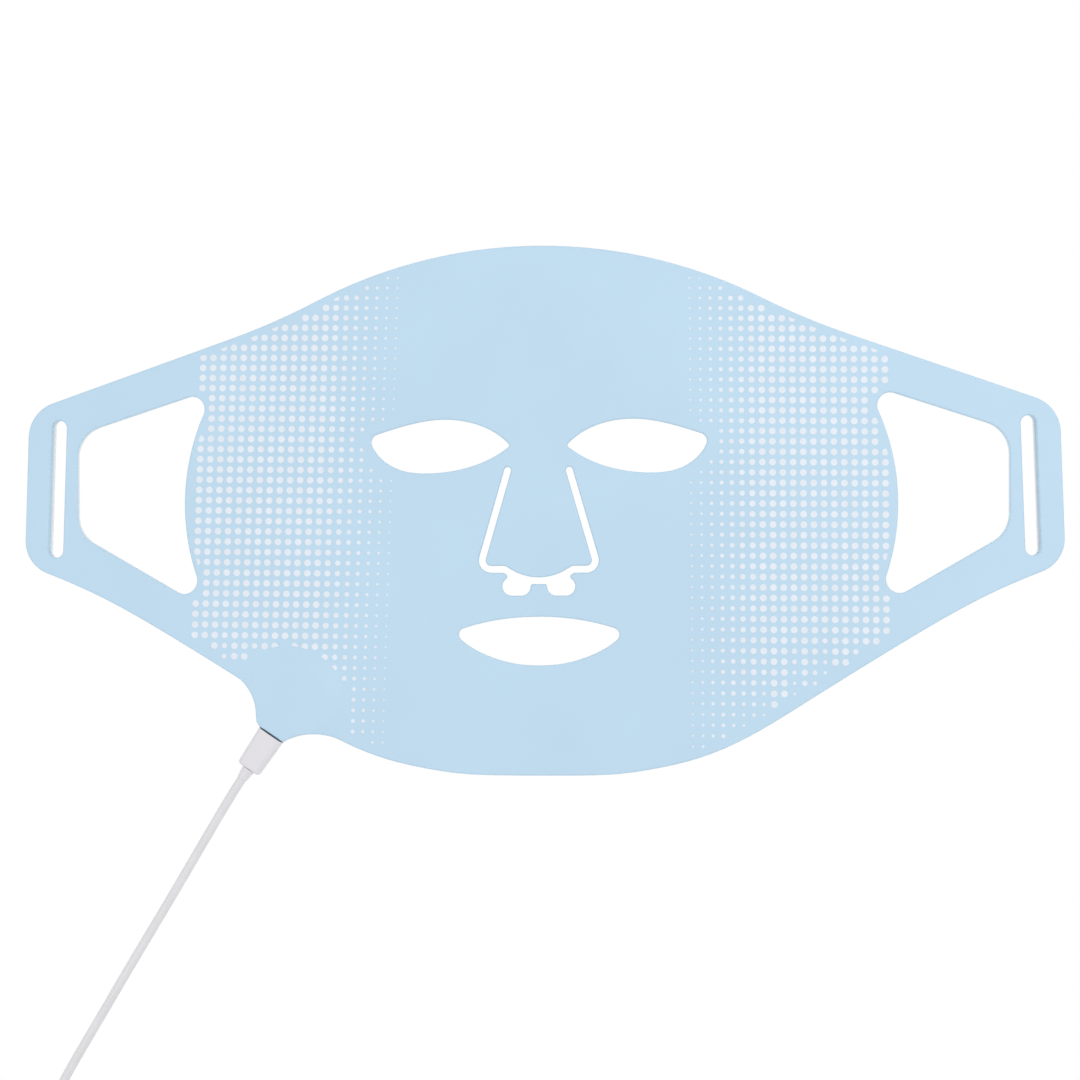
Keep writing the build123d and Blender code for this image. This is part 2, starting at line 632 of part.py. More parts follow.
with BuildPart() as far_grip:
    with BuildSketch(far_face(0)):
        RectangleRounded(FAR_GRIP[1], FAR_GRIP[2], 2.4)
    extrude(amount=FAR_GRIP[0])
    fillet(far_grip.faces().sort_by(Axis.X)[0].edges(), 1.5)
    with BuildSketch(far_face(0)):
        Circle(FAR_RELIEF_DIAMETER / 2)
    extrude(amount=-FAR_RELIEF_LENGTH)
    with BuildSketch(far_face(0)):
        Circle(CORD_DIAMETER / 2 + 0.25)
    extrude(amount=-FAR_RELIEF_LENGTH, mode=Mode.SUBTRACT)
write("far_plug_grip", far_grip.part)

with BuildPart() as far_shell:
    with BuildSketch(far_face(FAR_GRIP[0])):
        Rectangle(FAR_SHELL[1], FAR_SHELL[2])
        Rectangle(FAR_SHELL[1] - 2 * FAR_SHELL_WALL, FAR_SHELL[2] - 2 * FAR_SHELL_WALL, mode=Mode.SUBTRACT)
    extrude(amount=FAR_SHELL[0])
write("far_plug_shell", far_shell.part)

FAR_TONGUE = (11.0, 11.2, 1.84)
with BuildPart() as far_tongue:
    with BuildSketch(far_face(FAR_GRIP[0])):
        with Locations((0, 0.9)):
            Rectangle(FAR_TONGUE[1], FAR_TONGUE[2])
    extrude(amount=FAR_TONGUE[0])
write("far_plug_tongue", far_tongue.part)

with BuildPart() as far_contacts:
    with BuildSketch(far_face(FAR_GRIP[0])):
        with Locations((0, 0.9 - FAR_TONGUE[2] / 2 - 0.05)):
            with GridLocations(2.3, 0, 4, 1):
                Rectangle(1.2, 0.1)
    extrude(amount=FAR_TONGUE[0] - 2)
write("far_plug_contacts", far_contacts.part)
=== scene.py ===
"""Flexible LED face mask lying flat, seen from straight above, with its plug-in lead running out of view.

The silicone sheets, the printed dots and the cord are made here over the CAD frame. The sheets' outlines
come from the CAD nodes, so each piece lies where its node is. Lengths are in metres, and MM turns
millimetres into them.
"""

import json
from math import cos, pi, radians, sin

import bmesh
import bpy
import numpy as np
from mathutils import Matrix, Vector


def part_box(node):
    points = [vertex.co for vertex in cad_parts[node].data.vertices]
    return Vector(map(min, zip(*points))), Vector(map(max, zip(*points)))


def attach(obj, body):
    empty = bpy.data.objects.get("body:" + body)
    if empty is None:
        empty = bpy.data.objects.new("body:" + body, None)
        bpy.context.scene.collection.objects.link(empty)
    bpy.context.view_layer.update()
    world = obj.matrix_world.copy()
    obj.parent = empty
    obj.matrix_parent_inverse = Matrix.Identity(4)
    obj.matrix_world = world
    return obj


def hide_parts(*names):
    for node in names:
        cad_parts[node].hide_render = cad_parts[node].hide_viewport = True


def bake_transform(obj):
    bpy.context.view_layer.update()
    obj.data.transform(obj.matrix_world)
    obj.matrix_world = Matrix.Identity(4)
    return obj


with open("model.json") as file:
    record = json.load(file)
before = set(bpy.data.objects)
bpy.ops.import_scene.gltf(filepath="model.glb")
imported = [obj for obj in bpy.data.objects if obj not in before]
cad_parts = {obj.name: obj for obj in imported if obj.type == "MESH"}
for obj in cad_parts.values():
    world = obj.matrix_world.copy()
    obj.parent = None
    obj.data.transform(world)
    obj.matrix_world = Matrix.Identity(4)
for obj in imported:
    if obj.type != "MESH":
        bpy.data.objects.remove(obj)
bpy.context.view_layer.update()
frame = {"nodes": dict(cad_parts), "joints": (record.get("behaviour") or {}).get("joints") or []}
scene = bpy.context.scene

MM = 0.001
SIDES = {"left": 1, "right": -1}
hinge = {joint["name"]: Vector(joint["pos_m"]) for joint in frame["joints"] if joint.get("pos_m")}
CHEEK_X = hinge["left_cheek_bend"].x
WING_X = hinge["left_wing_bend"].x
NOSE_Y = hinge["nose_flap_lift"].y
BEND_REACH = 12 * MM  # the silicone bends this far each side of a bending line
SEAM_X = (CHEEK_X + WING_X) / 2
LINER_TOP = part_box("face_liner_centre")[1].z
FILM_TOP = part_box("flex_circuit_centre")[1].z
PANEL_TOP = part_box("front_cover_centre")[1].z
BOSS_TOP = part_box("front_cover_right_cheek")[1].z

# ---------------------------------------------------------------- materials


def node_material(name, roughness, metallic=0.0, specular=0.5):
    """A new material and its Principled shader."""
    material = bpy.data.materials.new(name)
    material.use_nodes = True
    shader = material.node_tree.nodes["Principled BSDF"]
    shader.inputs["Roughness"].default_value = roughness
    shader.inputs["Metallic"].default_value = metallic
    shader.inputs["Specular IOR Level"].default_value = specular
    return material, shader


def vary_colour(material, shader, colour, shade, scale, detail=4.0):
    """Soft variation between two close colours, by noise in the object's own space."""
    nodes, links = material.node_tree.nodes, material.node_tree.links
    place = nodes.new("ShaderNodeTexCoord")
    noise = nodes.new("ShaderNodeTexNoise")
    noise.inputs["Scale"].default_value = scale
    noise.inputs["Detail"].default_value = detail
    ramp = nodes.new("ShaderNodeValToRGB")
    ramp.color_ramp.elements[0].position = 0.35
    ramp.color_ramp.elements[1].position = 0.65
    ramp.color_ramp.elements[0].color = (*colour, 1)
    ramp.color_ramp.elements[1].color = (*[c * shade for c in colour], 1)
    links.new(place.outputs["Object"], noise.inputs["Vector"])
    links.new(noise.outputs["Fac"], ramp.inputs["Fac"])
    links.new(ramp.outputs["Color"], shader.inputs["Base Color"])


def grain(material, shader, scale, strength, distance=0.00005):
    """Fine surface grain."""
    nodes, links = material.node_tree.nodes, material.node_tree.links
    place = nodes.new("ShaderNodeTexCoord")
    noise = nodes.new("ShaderNodeTexNoise")
    noise.inputs["Scale"].default_value = scale
    noise.inputs["Detail"].default_value = 6.0
    bump = nodes.new("ShaderNodeBump")
    bump.inputs["Strength"].default_value = strength
    bump.inputs["Distance"].default_value = distance
    links.new(place.outputs["Object"], noise.inputs["Vector"])
    links.new(noise.outputs["Fac"], bump.inputs["Height"])
    links.new(bump.outputs["Normal"], shader.inputs["Normal"])


def surface(name, colour, roughness, shade=0.96, colour_scale=60.0, grain_scale=900.0, grain_strength=0.15,
            metallic=0.0, specular=0.5):
    """A finish of two close shades of a colour, with fine grain."""
    material, shader = node_material(name, roughness, metallic, specular)
    vary_colour(material, shader, colour, shade, colour_scale)
    grain(material, shader, grain_scale, grain_strength)
    return material


def silicone(name, colour, roughness, shade):
    """Moulded silicone: satin, slightly cloudy, with a sheen of fine dust."""
    material, shader = node_material(name, roughness, specular=0.4)
    vary_colour(material, shader, colour, shade, scale=22.0, detail=5.0)
    grain(material, shader, scale=1400.0, strength=0.12)
    shader.inputs["Sheen Weight"].default_value = 0.15
    shader.inputs["Sheen Roughness"].default_value = 0.4
    return material


# name, colour, roughness, darker shade, then the scales of the shades and the grain, and its strength
cover_blue = silicone("cover_silicone", (0.545, 0.735, 0.875), 0.48, 0.975)
liner_white = silicone("liner_silicone", (0.84, 0.86, 0.87), 0.42, 0.97)
print_white = surface("printed_dots", (0.83, 0.875, 0.93), 0.5, 0.95, 160.0, 1500.0, 0.1)
circuit_film = surface("circuit_film", (0.80, 0.77, 0.70), 0.4)
red_lamp = surface("red_lamp", (0.90, 0.74, 0.48), 0.15, 0.9, 400.0)
infrared_lamp = surface("infrared_lamp", (0.74, 0.78, 0.82), 0.12, 0.9, 400.0)
lamp_window = surface("lamp_window", (0.70, 0.62, 0.58), 0.18, 0.85, 300.0, 800.0, 0.05)
case_plastic = surface("case_plastic", (0.80, 0.80, 0.80), 0.5)
plug_plastic = surface("plug_plastic", (0.80, 0.775, 0.79), 0.38, 0.97, 120.0, 1200.0, 0.1)
cord_jacket = surface("cord_jacket", (0.80, 0.78, 0.79), 0.42, 0.96, 90.0, 1500.0, 0.12)
# painted shadow: the dark slate of the thin oval at the port's seat, where the plug meets the mask
painted_gap_shadow = surface("painted_gap_shadow", (0.05, 0.085, 0.13), 0.5, 0.8, 200.0)
nickel = surface("nickel", (0.62, 0.61, 0.60), 0.28, 0.93, 300.0, 2500.0, 0.1, metallic=1.0)
gold = surface("gold", (0.83, 0.60, 0.26), 0.25, 0.93, 300.0, 2500.0, 0.1, metallic=1.0)
black_plastic = surface("black_plastic", (0.015, 0.015, 0.017), 0.4, 0.7, 300.0)
white_plastic = surface("white_plastic", (0.78, 0.78, 0.78), 0.4)
board_green = surface("board_green", (0.03, 0.16, 0.07), 0.35, 0.75, 500.0)
ceramic = surface("ceramic", (0.45, 0.30, 0.18), 0.4, 0.85, 500.0)
tie_weave = surface("tie_weave", (0.72, 0.72, 0.73), 0.85, 0.85, 1800.0, 2600.0, 0.9)

NODE_FINISHES = {
    circuit_film: [n for n in frame["nodes"] if n.startswith("flex_circuit")],
    red_lamp: [n for n in frame["nodes"] if n.startswith("red_leds")],
    infrared_lamp: [n for n in frame["nodes"] if n.startswith("infrared_leds")],
    case_plastic: ["port_case_tray", "port_case_lid"],
    plug_plastic: ["plug_grip", "plug_collar", "far_plug_grip"],
    nickel: ["usb_c_port_shell", "plug_shell", "far_plug_shell"],
    gold: ["usb_c_port_contacts", "far_plug_contacts"],
    black_plastic: ["usb_c_port_tongue", "plug_insert", "control_chips"],
    white_plastic: ["far_plug_tongue"],
    board_green: ["control_board"],
    ceramic: ["board_capacitors"],
    tie_weave: ["coil_tie"],
}
for material, names in NODE_FINISHES.items():
    for name in names:
        mesh = frame["nodes"][name].data
        mesh.materials.clear()
        mesh.materials.append(material)

# ---------------------------------------------------------------- outlines, read from the CAD nodes
WELD = 0.12 * MM  # ends nearer than this are one point
GAP_HALF = 1.4 * MM  # half the widest gap on the skin side and at the front
ROOT_GAP_HALF, ROOT_REACH = 0.2 * MM, 12 * MM  # the nose flap's root line
LEVEL_SLACK, STRAIGHT_SLACK = 0.01 * MM, 0.02 * MM


def rim(node, height):
    """Boundary edges of a node's flat face at a height, as pairs of plan points."""
    mesh = frame["nodes"][node].data
    uses = {}
    for polygon in mesh.polygons:
        corners = [mesh.vertices[v].co for v in polygon.vertices]
        if max(abs(corner.z - height) for corner in corners) < LEVEL_SLACK:
            keys = [(round(c.x, 7), round(c.y, 7)) for c in corners]
            for a, b in zip(keys, keys[1:] + keys[:1]):
                key = (a, b) if a < b else (b, a)
                uses[key] = uses.get(key, 0) + 1
    return [edge for edge, count in uses.items() if count == 1]


def gap_line(a, b):
    """The bending line that an edge runs along, as (coordinate, value), or None."""
    for side in (-1, 1):
        for x in (side * CHEEK_X, side * WING_X):
            near_line = all(abs(end[0] - x) < GAP_HALF for end in (a, b))
            if near_line and abs(a[0] - b[0]) < STRAIGHT_SLACK:
                return 0, x
    if all(abs(end[1] - NOSE_Y) < ROOT_GAP_HALF and abs(end[0]) < ROOT_REACH for end in (a, b)):
        return 1, NOSE_Y
    return None


def whole_outline(rims):
    """Closed loops of a sheet: the zones' rims, joined across the gaps of the bending lines."""
    edges, lines = [], {}
    for a, b in rims:
        line = gap_line(a, b)
        if line:
            lines[a] = lines[b] = line
        else:
            edges.append([a, b])
    moved = {}
    for a, b in edges:
        for end, other in ((a, b), (b, a)):
            if end in lines:
                axis, value = lines[end]
                step = (value - end[axis]) / (end[axis] - other[axis])
                moved[end] = tuple(e + step * (e - o) for e, o in zip(end, other))
    mesh = bmesh.new()
    for a, b in edges:
        pair = [mesh.verts.new((*moved.get(point, point), 0)) for point in (a, b)]
        mesh.edges.new(pair)
    bmesh.ops.remove_doubles(mesh, verts=mesh.verts, dist=WELD)
    loops, left = [], dict.fromkeys(mesh.verts)
    while left:
        start = next(iter(left))
        del left[start]
        loop, current, previous = [start], start, None
        while True:
            following = [e.other_vert(current) for e in current.link_edges]
            following = [v for v in following if v is not previous and (v in left or v is start)]
            if not following or following[0] is start:
                break
            previous, current = current, following[0]
            del left[current]
            loop.append(current)
        if following:
            loops.append(np.array([v.co.xy[:] for v in loop]))
    mesh.free()
    return loops


def oriented(loops):
    """The outer loop runs anticlockwise and each hole clockwise, so the material is always on the left."""
    def area(loop):
        x, y = loop.T
        return 0.5 * np.sum(x * np.roll(y, -1) - np.roll(x, -1) * y)
    outer = max(loops, key=lambda loop: abs(area(loop)))
    return [loop if (area(loop) > 0) == (loop is outer) else loop[::-1] for loop in loops]


ZONES = ("centre", "left_cheek", "right_cheek", "left_wing", "right_wing", "nose")
skin_rims = [edge for zone in ZONES for edge in rim(f"face_liner_{zone}", 0.0)]
liner_loops = oriented(whole_outline(skin_rims))
SLOTS_FROM = 177 * MM  # only the strap slots lie wholly further out than this


def is_slot(loop):
    return np.abs(loop[:, 0]).min() > SLOTS_FROM


front_rims = [edge for side in SIDES for edge in rim(f"front_cover_{side}_wing", PANEL_TOP)]
slot_loops = [loop for loop in whole_outline(front_rims) if is_slot(loop)]
cover_loops = oriented([loop for loop in liner_loops if not is_slot(loop)] + slot_loops)

# ---------------------------------------------------------------- the silicone sheets
BOSS_CENTRE = Vector((-94.6, -72.0)) * MM
BOSS_FOOT, BOSS_HEAD = 23.5 * MM, 13.0 * MM


def smooth(t):
    """Rises from 0 to 1 with level ends."""
    t = min(max(t, 0.0), 1.0)
    return t * t * (3 - 2 * t)


def rise(x, y):
    """How much thicker the front cover is than elsewhere, over the port."""
    distance = (Vector((x, y)) - BOSS_CENTRE).length
    swell = smooth((BOSS_FOOT - distance) / (BOSS_FOOT - BOSS_HEAD))
    return 1 + swell * (BOSS_TOP - PANEL_TOP) / (PANEL_TOP - LINER_TOP)


def inward(loop):
    """Unit vectors into the material at each point of a loop."""
    along = np.roll(loop, -1, 0) - np.roll(loop, 1, 0)
    along /= np.linalg.norm(along, axis=1)[:, None]
    return np.stack([-along[:, 1], along[:, 0]], 1)


def sheet_solid(loops, low, high, edge_low, edge_high, steps=5):
    """A closed sheet between two heights, with rounded edges along every loop."""
    turns = [k / steps * pi / 2 for k in range(steps + 1)]
    profile = [(edge_low * (1 - sin(t)), low + edge_low * (1 - cos(t))) for t in turns]
    profile += [(edge_high * (1 - cos(t)), high - edge_high * (1 - sin(t))) for t in turns]
    mesh = bmesh.new()
    caps = {0: [], len(profile) - 1: []}
    for loop in loops:
        normals = inward(loop)
        rings = []
        for level, (inset, z) in enumerate(profile):
            ring = [mesh.verts.new((*point, z)) for point in loop + inset * normals]
            rings.append(ring)
            if level in caps:
                caps[level] += [mesh.edges.new((ring[i - 1], ring[i])) for i in range(len(ring))]
        for lower, upper in zip(rings, rings[1:]):
            for i in range(len(lower)):
                face = mesh.faces.new((lower[i - 1], lower[i], upper[i], upper[i - 1]))
                face.smooth = True
    for edges in caps.values():
        filled = bmesh.ops.triangle_fill(mesh, edges=edges, use_beauty=True)
        for face in filled["geom"]:
            if isinstance(face, bmesh.types.BMFace):
                face.smooth = False
    bmesh.ops.recalc_face_normals(mesh, faces=mesh.faces)
    return mesh


CUT_SLACK = 1e-7
BEND_STRIPS = 10  # each side of a bending line
BEYOND = 1.0  # further out than any piece


def cut(mesh, axis, places, near=None):
    """Divides faces along planes across an axis, only those that reach into a square if one is given."""
    normal = [0, 0, 0]
    normal[axis] = 1
    for place in places:
        origin = [0, 0, 0]
        origin[axis] = place
        faces = mesh.faces[:]
        if near is not None:
            centre, reach = near
            faces = [f for f in faces if all(
                min(v.co[k] for v in f.verts) < centre[k] + reach
                and max(v.co[k] for v in f.verts) > centre[k] - reach
                for k in (0, 1)
            )]
        corners = dict.fromkeys(v for f in faces for v in f.verts)
        edges = dict.fromkeys(e for f in faces for e in f.edges)
        bmesh.ops.bisect_plane(
            mesh,
            geom=[*corners, *edges, *faces],
            plane_co=origin,
            plane_no=normal,
            dist=CUT_SLACK,
        )


def divide_for_bending(mesh):
    """Divides a sheet finely where it bends, and along the middle and the seams between its pieces."""
    strips = range(-BEND_STRIPS, BEND_STRIPS + 1)
    for x in (CHEEK_X, WING_X):
        for side in (-1, 1):
            cut(mesh, 0, [side * (x + BEND_REACH * k / BEND_STRIPS) for k in strips])
    cut(mesh, 0, [0, -SEAM_X, SEAM_X])
    bmesh.ops.triangulate(mesh, faces=[f for f in mesh.faces if len(f.verts) > 4])


def new_piece(name, mesh, material):
    data = bpy.data.meshes.new(name)
    mesh.to_mesh(data)
    data.materials.append(material)
    piece = bpy.data.objects.new(name, data)
    scene.collection.objects.link(piece)
    return piece


FLAP_ROW, FLAP_ROWS = 0.9 * MM, 15
FLAP_REACH = 24 * MM  # the cuts across the flap reach this far from the origin
FLAP_CORE = 3 * MM  # faces nearer to the origin than this are the flap's


def take_nose(mesh):
    """Moves the nose flap, all that the slit and its root line enclose, into a mesh of its own."""
    rows = [NOSE_Y - FLAP_ROW * k for k in range(FLAP_ROWS)]
    cut(mesh, 1, rows, ((0, 0), FLAP_REACH))
    mesh.faces.index_update()
    inside = {f for f in mesh.faces if f.calc_center_median().xy.length < FLAP_CORE}
    front = list(inside)
    while front:
        face = front.pop()
        for edge in face.edges:
            if all(abs(v.co.y - NOSE_Y) < LEVEL_SLACK for v in edge.verts):
                continue
            for other in edge.link_faces:
                if other not in inside:
                    inside.add(other)
                    front.append(other)
    flap = mesh.copy()
    kept = {f.index for f in inside}
    flap.faces.ensure_lookup_table()
    bmesh.ops.delete(flap, geom=[f for f in flap.faces if f.index not in kept], context="FACES")
    bmesh.ops.delete(mesh, geom=list(inside), context="FACES")
    return flap


def half(mesh, side, low, high):
    """The part of a mesh between two distances from the middle, on one side."""
    part = mesh.copy()
    for place, keep_above in ((side * low, side > 0), (side * high, side < 0)):
        bmesh.ops.bisect_plane(
            part,
            geom=part.verts[:] + part.edges[:] + part.faces[:],
            plane_co=(place, 0, 0),
            plane_no=(1, 0, 0),
            dist=CUT_SLACK,
            clear_inner=keep_above,
            clear_outer=not keep_above,
        )
    return part


def bend_inner(piece, side, name):
    """Bakes a piece's placement into its mesh; it isn't bent here."""
    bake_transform(piece)


def bend_outer(piece, side, name):
    """Bakes a piece's placement into its mesh; it isn't bent here."""
    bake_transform(piece)


def bend_nose(piece):
    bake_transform(piece)


def sheet_pieces(label, mesh, material, node_label, has_wings=True):
    """The sheet as up to five pieces that meet edge to edge."""
    flap = take_nose(mesh)
    piece = new_piece(f"{label}_nose", flap, material)
    bend_nose(piece)
    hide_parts(f"{node_label}_nose")
    for name, side in SIDES.items():
        inner = new_piece(f"{label}_{name}_inner", half(mesh, side, 0, SEAM_X), material)
        bend_inner(inner, side, name)
        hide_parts(f"{node_label}_centre", f"{node_label}_{name}_cheek")
        outer = new_piece(f"{label}_{name}_outer", half(mesh, side, SEAM_X, BEYOND), material)
        bend_outer(outer, side, name)
        if has_wings:
            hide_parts(f"{node_label}_{name}_wing")


PLUG_AXIS = -Vector(next(j for j in frame["joints"] if j["name"] == "plug_pull")["axis"]).normalized()
PORT_LOW, PORT_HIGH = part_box("usb_c_port_shell")
PORT_MIDDLE = (PORT_LOW + PORT_HIGH) / 2
PORT_HALF_LENGTH = 4.05 * MM
PORT_SET_BACK = 0.1 * MM  # the port's shell stands this far behind the seat
SEAT = PORT_MIDDLE - PLUG_AXIS * (PORT_HALF_LENGTH + PORT_SET_BACK)
BORE_WIDTH, BORE_HEIGHT = 9.4 * MM, 3.7 * MM
BORE_START, BORE_END = -2 * MM, 8.5 * MM  # from the seat into the mask


def oval_bar(width, height, start, end, corners=48):
    """A bar with a stadium section along the port, measured from its seat into the mask."""
    mesh = bmesh.new()
    across = Vector((PLUG_AXIS.y, -PLUG_AXIS.x, 0))
    rings = []
    for depth in (start, end):
        ring = []
        for k in range(corners):
            t = 2 * pi * (k + 0.5) / corners
            straight = (width - height) / 2 * (1 if cos(t) > 0 else -1)
            offset = across * (straight + height / 2 * cos(t)) + Vector((0, 0, height / 2 * sin(t)))
            ring.append(mesh.verts.new(SEAT + PLUG_AXIS * depth + offset))
        rings.append(ring)
    for i in range(corners):
        mesh.faces.new((rings[0][i - 1], rings[0][i], rings[1][i], rings[1][i - 1]))
    mesh.faces.new(rings[0])
    mesh.faces.new(rings[1])
    bmesh.ops.recalc_face_normals(mesh, faces=mesh.faces)
    return mesh


def bore_port(mesh):
    """Opens the port's mouth in a closed sheet."""
    sheet = new_piece("sheet_before_bore", mesh, cover_blue)
    bore = oval_bar(BORE_WIDTH, BORE_HEIGHT, BORE_START, BORE_END)
    cutter = new_piece("port_cutter", bore, cover_blue)
    boolean = sheet.modifiers.new("port", "BOOLEAN")
    boolean.operation = "DIFFERENCE"
    boolean.solver = "EXACT"
    boolean.object = cutter
    bpy.context.view_layer.update()
    result = bpy.data.meshes.new_from_object(sheet.evaluated_get(bpy.context.evaluated_depsgraph_get()))
    mesh.clear()
    mesh.from_mesh(result)
    for spare in (sheet, cutter):
        bpy.data.objects.remove(spare)


COVER_LOWER_EDGE, COVER_UPPER_EDGE = 0.35 * MM, 0.7 * MM  # radii of the rounded edges
SKIN_EDGE, LINER_UPPER_EDGE = 0.5 * MM, 0.1 * MM
FILM_EDGE = 0.02 * MM
LINER_SET_BACK = 0.2 * MM  # the cover's edge hides the liner's
BOSS_GRID, BOSS_LINES = 1.6 * MM, 14  # the swelling's mesh, with so many lines each side of its centre
cover = sheet_solid(cover_loops, LINER_TOP, PANEL_TOP, COVER_LOWER_EDGE, COVER_UPPER_EDGE)
boss_reach = (BOSS_CENTRE, BOSS_FOOT + 2 * MM)
steps = [k * BOSS_GRID for k in range(-BOSS_LINES, BOSS_LINES + 1)]
cut(cover, 0, [BOSS_CENTRE.x + step for step in steps], boss_reach)
cut(cover, 1, [BOSS_CENTRE.y + step for step in steps], boss_reach)
for vertex in cover.verts:
    vertex.co.z = LINER_TOP + (vertex.co.z - LINER_TOP) * rise(vertex.co.x, vertex.co.y)
for face in cover.faces:
    if (face.calc_center_median().xy - BOSS_CENTRE).length < BOSS_FOOT + 1 * MM:
        face.smooth = True
bore_port(cover)
divide_for_bending(cover)
sheet_pieces("front_skin", cover, cover_blue, "front_cover")

liner_set_back = [loop + LINER_SET_BACK * inward(loop) for loop in liner_loops]
liner = sheet_solid(liner_set_back, 0, LINER_TOP, SKIN_EDGE, LINER_UPPER_EDGE)
bore_port(liner)
divide_for_bending(liner)
sheet_pieces("face_skin", liner, liner_white, "face_liner")

film_rims = [edge for zone in ZONES[:3] + ZONES[5:] for edge in rim(f"flex_circuit_{zone}", FILM_TOP)]
film_loops = oriented(whole_outline(film_rims))
film = sheet_solid(film_loops, LINER_TOP, FILM_TOP, FILM_EDGE, FILM_EDGE, steps=1)
divide_for_bending(film)
sheet_pieces("circuit", film, circuit_film, "flex_circuit", has_wings=False)

# ---------------------------------------------------------------- printed dots
DOT_COLUMNS = 20
MIDDLE_COLUMN = 12
DOT_ROWS = range(-25, 23)
# Each side's first column and middle row, its column pitch, and the slant of its columns and rows, in mm.
PRINTS = {
    "right": {"x": 55.65, "y": 8.17, "pitch": 3.83, "lean": -0.145, "climb": 0.040},
    "left": {"x": 57.15, "y": 10.09, "pitch": 3.80, "lean": -0.020, "climb": -0.032},
}
ROW_PITCH, ROW_GROWTH = 3.877, -0.0030  # the rows close up towards the crown
DOT_SMALLEST, DOT_GROWTH, DOT_FULL = 0.38 * MM, 0.13 * MM, 1.28 * MM  # radii grow column by column
CROWN_MARGIN, JAW_MARGIN, WINDOW_MARGIN = 2.3 * MM, 3.0 * MM, 1.8 * MM
EYE_MARGIN = 3.6 * MM
DOT_HEIGHT = 0.05 * MM  # above the cover, and as deep in it
LOBE_CLEAR = (Vector((-95.4, -73.5)) * MM, 22.9 * MM)  # the round area that is left unprinted
FADE_STEP = 0.1  # of a dot's radius, for each dot nearer to the jaw
# Columns that fade towards the jaw, each with the number of dots that the fade takes.
FADES = {"left": {4: 4, 5: 6, 6: 5, 7: 7, 10: 7, 11: 3, 12: 5, 13: 6, 16: 3}, "right": {13: 6, 16: 4}}

outer_loop = max(cover_loops, key=lambda loop: np.ptp(loop[:, 0]))
WINDOWS_FROM, WINDOWS_TO = 100 * MM, 150 * MM  # a window's nearest point to the middle lies between these
EYES_WITHIN, EYES_ABOVE = 20 * MM, 5 * MM
window_loops = [loop for loop in cover_loops if WINDOWS_FROM < np.abs(loop[:, 0]).min() < WINDOWS_TO]
eye_loops = [loop for loop in cover_loops
             if np.abs(loop[:, 0]).min() < EYES_WITHIN and loop[:, 1].min() > EYES_ABOVE
             and loop is not outer_loop]


def nearest(loop, point):
    """Distance from a point to a closed loop, and the unit vector from the loop to the point."""
    a, b = loop, np.roll(loop, -1, 0)
    along = b - a
    t = np.clip(((point - a) * along).sum(1) / np.maximum((along**2).sum(1), 1e-18), 0, 1)
    foot = a + along * t[:, None]
    gaps = np.linalg.norm(point - foot, axis=1)
    k = gaps.argmin()
    return gaps[k], (point - foot[k]) / max(gaps[k], 1e-9)


def inside_loop(loop, point):
    """Whether a line from the point towards +X crosses the loop an odd number of times."""
    x, y = loop.T
    x2, y2 = np.roll(x, -1), np.roll(y, -1)
    crosses = ((y > point[1]) != (y2 > point[1])) & (
        point[0] < (x2 - x) * (point[1] - y) / np.where(y2 == y, 1e-12, y2 - y) + x
    )
    return crosses.sum() % 2 == 1


def clipped_disc(centre, radius, corners=28):
    """A disc's outline, cut off straight where it comes too near an edge, or None if it is left out."""
    to_outline, from_outline = nearest(outer_loop, centre)
    if not inside_loop(outer_loop, centre) or (centre[1] < 0 and to_outline < radius + JAW_MARGIN):
        return None
    limits = [(to_outline - CROWN_MARGIN, from_outline)]
    for loops, margin in ((window_loops, WINDOW_MARGIN), (eye_loops, EYE_MARGIN)):
        for loop in loops:
            if inside_loop(loop, centre):
                return None
            distance, away = nearest(loop, centre)
            limits.append((distance - margin, away))
    if centre[0] < 0:
        from_lobe = Vector(centre) - LOBE_CLEAR[0]
        limits.append((from_lobe.length - LOBE_CLEAR[1], np.array(from_lobe.normalized())))
    turns = np.linspace(0, 2 * pi, corners, endpoint=False)
    ring = radius * np.stack([np.cos(turns), np.sin(turns)], 1)
    for room, away in limits:
        if room < 0:
            return None
        overhang = np.minimum(ring @ away + room, 0)
        ring = ring - overhang[:, None] * away
    return ring + centre


def dot_place(name, column, row):
    """Where a dot of one side's print is, for its column from the face and its row from the middle."""
    side_print = PRINTS[name]
    x = side_print["x"] + side_print["pitch"] * column + side_print["lean"] * row
    climb = side_print["climb"] * (column - MIDDLE_COLUMN)
    y = side_print["y"] + climb + ROW_PITCH * row + ROW_GROWTH * row**2
    return np.array((SIDES[name] * x, y)) * MM


def dot_radius(name, column, steps_from_edge):
    """A dot's radius, for its column from the face and how many dots lie between it and the jaw."""
    radius = min(DOT_SMALLEST + DOT_GROWTH * column, DOT_FULL)
    fade = max(FADES[name].get(column, 0) - steps_from_edge, 0)
    return radius * (1 - FADE_STEP * fade)


dot_meshes = {(name, part): bmesh.new() for name in SIDES for part in ("inner", "outer")}
for name in SIDES:
    for column in range(DOT_COLUMNS):
        places = [dot_place(name, column, row) for row in DOT_ROWS]
        on_panel = [place for place in places if inside_loop(outer_loop, place)]
        for steps_from_edge, place in enumerate(on_panel):
            ring = clipped_disc(place, dot_radius(name, column, steps_from_edge))
            if ring is None:
                continue
            mesh = dot_meshes[name, "inner" if abs(place[0]) < SEAM_X else "outer"]
            heights = [LINER_TOP + (PANEL_TOP - LINER_TOP) * rise(*point) for point in ring]
            top = [mesh.verts.new((*point, z + DOT_HEIGHT)) for point, z in zip(ring, heights)]
            foot = [mesh.verts.new((*point, z - DOT_HEIGHT)) for point, z in zip(ring, heights)]
            mesh.faces.new(top)
            mesh.faces.new(foot[::-1])
            for i in range(len(top)):
                mesh.faces.new((foot[i - 1], foot[i], top[i], top[i - 1]))
for (name, part), mesh in dot_meshes.items():
    piece = new_piece(f"printed_dots_{name}_{part}", mesh, print_white)
    (bend_inner if part == "inner" else bend_outer)(piece, SIDES[name], name)

